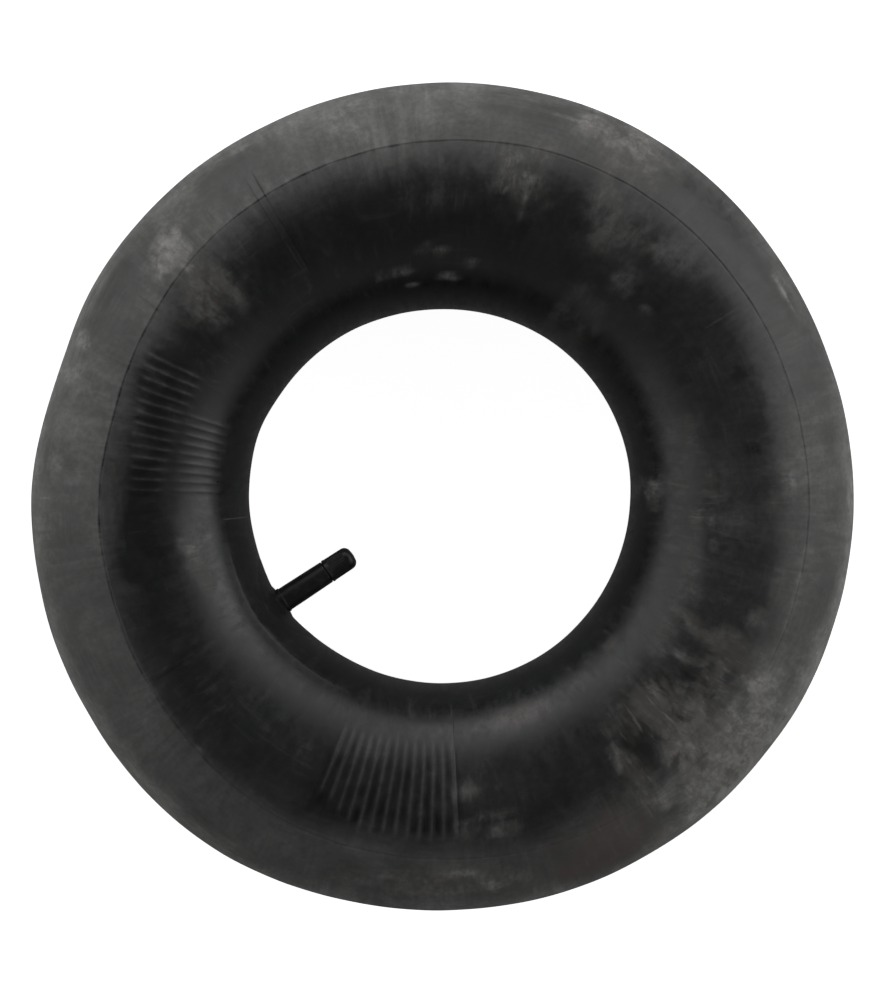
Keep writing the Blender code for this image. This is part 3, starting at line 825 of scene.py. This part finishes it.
def make_cap():
    """The cap: a fluted outside with a rounded end, and a threaded bore with a recess at its mouth."""
    mouth, wide = CAP_MOUTH, CAP_WIDE
    low, high = mouth + 1.6 * MM, CAP_END - CAP_CORNER
    outside = [(wide - 0.2 * MM, mouth), (wide, mouth + 0.2 * MM), (wide, mouth + 1.2 * MM)]
    outside += [(wide - 0.12 * MM, mouth + 1.4 * MM)]
    outside += straight((wide - 0.13 * MM, low), (CAP_NARROW, high - 0.4 * MM), 0.4 * MM)
    outside += arc((CAP_NARROW - CAP_CORNER, high - 0.25 * MM), CAP_CORNER, 0, 90, 14)
    outside += [((CAP_NARROW - CAP_CORNER) / 2, CAP_END - 0.08 * MM), (0, CAP_END)]
    inside = [(0, CAP_ROOF), (CAP_ROOF_RADIUS, CAP_ROOF), (3.5 * MM, TIP), (CAP_BORE, TIP - 0.5 * MM)]
    inside += straight((CAP_BORE, TIP - 1 * MM), (CAP_BORE, mouth + 3.3 * MM), 0.12 * MM)
    inside += [(CAP_BORE, mouth + 2.8 * MM), (CAP_RECESS, mouth + 2.6 * MM)]
    inside += [(CAP_RECESS, mouth + 0.3 * MM), (CAP_RECESS + 0.2 * MM, mouth)]
    return turned("valve_cap", (inside + outside)[::-1], steps=CAP_STEPS, carve=cap_carving)


class Nodes:
    """Short calls that add nodes to a tree. Any input can be a link or a plain value."""

    def __init__(self, tree):
        self.tree = tree

    def add(self, kind, links=None, **settings):
        node = self.tree.nodes.new(kind)
        for name, value in settings.items():
            setattr(node, name, value)
        for socket, source in (links or {}).items():
            self.put(node.inputs[socket], source)
        return node

    def put(self, socket, source):
        if isinstance(source, bpy.types.NodeSocket):
            self.tree.links.new(source, socket)
        else:
            socket.default_value = source

    def math(self, operation, first, second=0.0, clamp=False):
        node = self.add("ShaderNodeMath", {0: first, 1: second}, operation=operation)
        node.use_clamp = clamp
        return node.outputs[0]

    def times(self, first, second, clamp=False):
        return self.math("MULTIPLY", first, second, clamp)

    def plus(self, first, second, clamp=False):
        return self.math("ADD", first, second, clamp)

    def vector(self, operation, first, second=(0, 0, 0)):
        """The outputs of vector arithmetic: 0 for a vector, and "Value" for a number."""
        return self.add("ShaderNodeVectorMath", {0: first, 1: second}, operation=operation).outputs

    def between(self, value, low, high, to_low=0.0, to_high=1.0):
        """The value eased from low to high into to_low to to_high, and held beyond them."""
        links = {"Value": value, "From Min": low, "From Max": high, "To Min": to_low, "To Max": to_high}
        return self.add("ShaderNodeMapRange", links, interpolation_type="SMOOTHSTEP").outputs["Result"]


class Shader(Nodes):
    """A node material with one Principled surface."""

    def __init__(self, name):
        self.material = bpy.data.materials.new(name)
        self.material.use_nodes = True
        super().__init__(self.material.node_tree)
        self.surface = self.tree.nodes["Principled BSDF"]
        self.place = self.add("ShaderNodeTexCoord").outputs["Object"]

    def attribute(self, name, output="Fac"):
        return self.add("ShaderNodeAttribute", attribute_name=name).outputs[output]

    def stretched(self, scale, place=None):
        links = {"Vector": place or self.place, "Scale": scale}
        return self.add("ShaderNodeMapping", links).outputs["Vector"]

    def noise(self, size, detail=3.0, roughness=0.55, warp=0.0, place=None):
        """Noise whose features have about the given size, in metres."""
        links = {"Vector": place or self.place, "Scale": 1 / size, "Detail": detail}
        links.update({"Roughness": roughness, "Distortion": warp})
        return self.add("ShaderNodeTexNoise", links).outputs["Fac"]

    def mix(self, share, first, second):
        node = self.add("ShaderNodeMix", {"Factor": share}, data_type="RGBA")
        self.put(node.inputs[6], first)
        self.put(node.inputs[7], second)
        return node.outputs[2]

    def bump(self, height, distance, strength, normal=None):
        links = {"Height": height, "Distance": distance, "Strength": strength}
        if normal:
            links["Normal"] = normal
        return self.add("ShaderNodeBump", links).outputs["Normal"]

    def finish(self, colour, roughness, normal=None, **uniform):
        self.put(self.surface.inputs["Base Color"], colour)
        self.put(self.surface.inputs["Roughness"], roughness)
        if normal:
            self.put(self.surface.inputs["Normal"], normal)
        for name, value in uniform.items():
            self.surface.inputs[name.replace("_", " ")].default_value = value
        return self.material


def grey(value, tint=(1, 1, 1)):
    return (value * tint[0], value * tint[1], value * tint[2], 1)


def tube_rubber():
    """Black butyl under a soft film of talc, with streaky smudges, brown-grey stains, fine scuffs, painted
    highlights and painted shade.
    """
    s = Shader("tube_rubber")
    names = ("film", "talc", "stain", "warmth", "lines")
    even, talc, stain, warmth, lines = (s.attribute(name) for name in names)
    flow = s.attribute("flow", "Vector")

    def streaks(size, stretch, detail=4, roughness=0.6, warp=0.5):
        """Noise drawn out along the ring or over the section, by a small scale of (ring, ring, section)."""
        return s.noise(size, detail, roughness, warp, s.stretched(stretch, flow))

    broad = s.noise(48 * MM, detail=2)
    cloud = s.noise(24 * MM, detail=4, roughness=0.5, warp=0.4)
    fleck = s.noise(2.6 * MM, detail=3, roughness=0.6)
    grain = s.noise(0.55 * MM, detail=2)
    brushed = streaks(3.5 * MM, (1, 1, 0.12))
    wiped = streaks(3.0 * MM, (0.1, 0.1, 1))

    soft = s.times(s.between(cloud, 0.3, 0.7, 0.8, 1.2), s.between(fleck, 0.3, 0.7, 0.85, 1.15))
    across = s.times(s.between(brushed, 0.36, 0.66, -0.16, 0.2), s.between(broad, 0.4, 0.55))
    around = s.times(s.between(wiped, 0.36, 0.66, -0.14, 0.18), s.between(broad, 0.35, 0.5, 1.0, 0.0))
    strokes = s.plus(s.plus(across, around), 1.0)
    even = s.times(even, s.times(soft, strokes))

    smear = streaks(6.5 * MM, (1, 1, 0.5), detail=7, roughness=0.68, warp=0.35)
    crack = streaks(9 * MM, (1, 1, 0.3), detail=3, roughness=0.5, warp=0.4)
    crack = s.between(s.math("ABSOLUTE", s.math("SUBTRACT", crack, 0.5)), 0.0, 0.06, 0.7, 1.0)
    bared = s.plus(smear, s.times(talc, 0.1))
    ragged = s.times(s.between(bared, 0.44, 0.64, 0.25, 1.4), crack)
    rough_share = s.between(stain, 0.0, 0.5, 0.5, 1.0)
    ragged = s.plus(1.0, s.times(s.math("SUBTRACT", ragged, 1.0), rough_share))
    gritty = s.times(ragged, s.between(fleck, 0.38, 0.62, 0.82, 1.14))
    smudged = s.times(talc, gritty)
    wisps = s.times(s.between(wiped, 0.52, 0.72), s.between(cloud, 0.45, 0.65, 0.0, 0.08))
    specks = s.times(s.between(smear, 0.55, 0.68), s.between(broad, 0.42, 0.58, 0.02, 0.11))
    film = s.plus(s.plus(even, smudged), s.plus(wisps, specks))
    light_lines = s.times(s.math("MAXIMUM", lines, 0.0), s.between(fleck, 0.3, 0.7, 0.7, 1.2))
    film = s.math("MAXIMUM", s.plus(film, s.times(light_lines, 0.35)), 0.0)

    mottle = streaks(11 * MM, (1, 1, 0.5), detail=6, roughness=0.66, warp=0.6)
    stained = s.times(stain, s.between(mottle, 0.42, 0.6), clamp=True)
    scratch = streaks(3.2 * MM, (1, 1, 0.16), roughness=0.55)
    scratch = s.between(scratch, 0.6, 0.67)
    scratched = s.times(scratch, s.plus(s.times(stain, 0.6), 0.05), clamp=True)

    darker, lighter = grey(0.0075, (0.97, 1.01, 0.99)), grey(0.0115, (0.92, 1.03, 1.0))
    black = s.mix(s.between(cloud, 0.35, 0.65), darker, lighter)
    # The film, which also holds the painted highlights, lightens the black.
    dusted = s.mix(s.times(film, 0.4, clamp=True), black, grey(0.36, (1.0, 1.0, 0.97)))
    dirty = s.mix(s.times(stained, 0.5), dusted, grey(0.09, (1.06, 0.98, 0.86)))
    warm = s.mix(s.times(warmth, 0.34, clamp=True), dirty, grey(0.08, (1.3, 0.97, 0.9)))
    scuffed = s.mix(s.times(scratched, 0.55), warm, grey(0.2, (1.0, 0.99, 0.95)))
    # The painted shade in the mould groove, beside the ridge and between the ribs, with the dark marks,
    # darkens the colour.
    dark_lines = s.times(s.math("MAXIMUM", s.times(lines, -1.0), 0.0), 0.9)
    dark_lines = s.times(dark_lines, s.between(brushed, 0.3, 0.65, 1.25, 0.6), clamp=True)
    colour = s.mix(dark_lines, scuffed, grey(0.004))

    dull = s.plus(film, s.times(stained, 0.6), clamp=True)
    roughness = s.plus(s.between(dull, 0.0, 0.75, 0.36, 0.72), s.between(fleck, 0.3, 0.7, -0.03, 0.03))
    roughness = s.plus(roughness, s.between(smear, 0.35, 0.65, -0.06, 0.07))
    normal = s.bump(grain, 0.03 * MM, 0.5)
    normal = s.bump(fleck, 0.08 * MM, 0.3, normal)
    return s.finish(colour, roughness, normal)


def moulded(name, black, gloss, grain_size, tint=(1, 1, 1), dustiness=0.25):
    """Plain moulded rubber or plastic: a little uneven, with a fine skin and a trace of dust."""
    s = Shader(name)
    cloud = s.noise(4 * MM, detail=4, roughness=0.6)
    grain = s.noise(grain_size, detail=2)
    along = s.noise(1.2 * MM, detail=3, place=s.stretched((0.12, 1.0, 1.0)))
    dusty = s.times(s.between(cloud, 0.48, 0.72), dustiness)
    colour = s.mix(dusty, grey(black, tint), grey(0.07, tint))
    uneven = s.between(cloud, 0.3, 0.7, gloss - 0.04, gloss + 0.06)
    roughness = s.plus(uneven, s.between(along, 0.3, 0.7, -0.03, 0.03))
    normal = s.bump(grain, 0.02 * MM, 0.4)
    normal = s.bump(along, 0.03 * MM, 0.25, normal)
    return s.finish(colour, roughness, normal)


def metal(name, colour, dark, gloss):
    """Turned metal, with fine tool lines round the stem's axis and a little tarnish."""
    s = Shader(name)
    lines = s.noise(0.12 * MM, detail=2, place=s.stretched((1.0, 0.04, 0.04)))
    tarnish = s.between(s.noise(1.6 * MM, detail=5, roughness=0.65), 0.42, 0.68)
    mixed = s.mix(s.times(tarnish, 0.55), (*colour, 1), (*dark, 1))
    uneven = s.between(tarnish, 0.0, 1.0, gloss, gloss + 0.16)
    roughness = s.plus(uneven, s.between(lines, 0.3, 0.7, -0.04, 0.04))
    return s.finish(mixed, roughness, s.bump(lines, 0.01 * MM, 0.5), Metallic=1.0)


def dress(obj, material):
    """Give the object its material."""
    obj.data.materials.clear()
    obj.data.materials.append(material)
    return obj


def make_floor():
    """A plain, nearly white floor that casts no light on the tube and isn't mirrored in it."""
    bpy.ops.mesh.primitive_plane_add(size=FLOOR_SIZE, location=(0, 0, -FLOOR_DROP))
    floor = bpy.context.object
    floor.name = "floor"
    s = Shader("floor")
    patch = s.noise(0.4, detail=2)
    colour = s.mix(s.between(patch, 0.3, 0.7), grey(0.80), grey(0.82))
    flat = s.vector("MULTIPLY", s.place, (1, 1, 0))[0]
    reach = s.vector("LENGTH", flat)["Value"]
    from_middle = s.math("ABSOLUTE", s.math("SUBTRACT", reach, RING_RADIUS))
    glow = s.between(from_middle, *SHADE_SPAN, FLOOR_SHADE, FLOOR_GLOW)
    material = s.finish(colour, 0.8, Emission_Color=(1, 1, 1, 1))
    s.put(s.surface.inputs["Emission Strength"], glow)
    dress(floor, material)
    floor.visible_glossy = False
    floor.visible_diffuse = False


def make_light():
    """A studio that is dark overhead and softly bright low down, on all sides but one."""
    world = bpy.data.worlds.new("studio")
    bpy.context.scene.world = world
    world.use_nodes = True
    sky = Nodes(world.node_tree)
    direction = sky.add("ShaderNodeTexCoord").outputs["Generated"]
    up = sky.add("ShaderNodeSeparateXYZ", {0: direction}).outputs["Z"]
    flat = sky.vector("NORMALIZE", sky.vector("MULTIPLY", direction, (1, 1, 0))[0])[0]

    def facing(degrees):
        """1 where the sky is in that direction in the picture, and -1 where it is opposite."""
        angle = math.radians(degrees) + CAMERA_TURN
        return sky.vector("DOT_PRODUCT", flat, (math.cos(angle), math.sin(angle), 0))["Value"]

    side = sky.between(facing(BRIGHT_DIRECTION), -0.8, 0.0, DARK_SIDE, BRIGHT_SIDE)
    for degrees, more in WINDOWS:
        side = sky.plus(side, sky.between(facing(degrees), 0.88, 1.0, 0.0, more))
    light = sky.plus(sky.times(side, sky.between(up, 0.25, 0.85, 1.0, 0.0)), OVERHEAD)
    above = sky.between(up, -0.12, 0.02)
    ground = sky.times(sky.math("SUBTRACT", 1.0, above), BOUNCE)
    strength = sky.plus(sky.times(light, above), ground)

    # Where the camera sees past the floor, the studio is white.
    shown = sky.add("ShaderNodeLightPath").outputs["Is Camera Ray"]
    background = sky.tree.nodes["Background"]
    sky.put(background.inputs["Strength"], sky.math("MAXIMUM", strength, shown))
    background.inputs["Color"].default_value = (1, 1, 1, 1)
    bpy.context.scene.view_settings.view_transform = "Standard"


def make_camera():
    camera = bpy.data.objects.new("camera", bpy.data.cameras.new("camera"))
    bpy.context.scene.collection.objects.link(camera)
    bpy.context.scene.camera = camera
    camera.data.sensor_fit = "VERTICAL"
    camera.data.sensor_height = SENSOR
    camera.data.lens = SENSOR * (CAMERA_HEIGHT - MID_HEIGHT) / FRAME_HEIGHT
    right, up = FRAME_OFFSET
    cosine, sine = math.cos(CAMERA_TURN), math.sin(CAMERA_TURN)
    camera.location = (right * cosine - up * sine, right * sine + up * cosine, CAMERA_HEIGHT)
    camera.rotation_euler = (0, 0, CAMERA_TURN)


def main():
    make_camera()
    make_light()
    make_floor()

    rubber = tube_rubber()
    stem_rubber = moulded("stem_rubber", 0.0085, 0.42, 0.3 * MM)
    seal_rubber = moulded("seal_rubber", 0.02, 0.6, 0.25 * MM)
    plastic = moulded("cap_plastic", 0.0105, 0.36, 0.2 * MM, (1, 1, 1.03))
    fluoropolymer = moulded("core_gasket", 0.3, 0.4, 0.2 * MM, (1.0, 0.08, 0.05), 0.05)
    brass = metal("brass", (0.66, 0.46, 0.17), (0.33, 0.19, 0.07), 0.24)
    steel = metal("spring_steel", (0.56, 0.56, 0.55), (0.3, 0.29, 0.27), 0.2)

    tube = dress(make_tube(), rubber)
    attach(tube, "tube")
    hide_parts("tube_body")
    pad = dress(make_pad(), stem_rubber)
    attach(pad, "tube")
    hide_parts("valve_base")
    root = dress(make_root(), stem_rubber)
    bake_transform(root)
    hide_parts("stem_neck")
    cover = dress(make_jacket(), stem_rubber)
    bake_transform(cover)
    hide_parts("stem_jacket")
    insert = dress(make_insert(), brass)
    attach(insert, "stem")
    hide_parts("valve_insert")
    cap = dress(make_cap(), plastic)
    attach(cap, "cap")
    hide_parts("cap_shell")

    coil = dress(make_spring(), steel)
    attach(coil, "stem")
    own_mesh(coil)
    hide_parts("core_spring")

    finishes = {
        "core_plug": brass,
        "core_barrel": brass,
        "core_pin": brass,
        "core_cup": brass,
        "core_gasket": fluoropolymer,
        "core_seal": seal_rubber,
        "cap_gasket": seal_rubber,
    }
    for name, material in finishes.items():
        dress(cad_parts[name], material)


main()
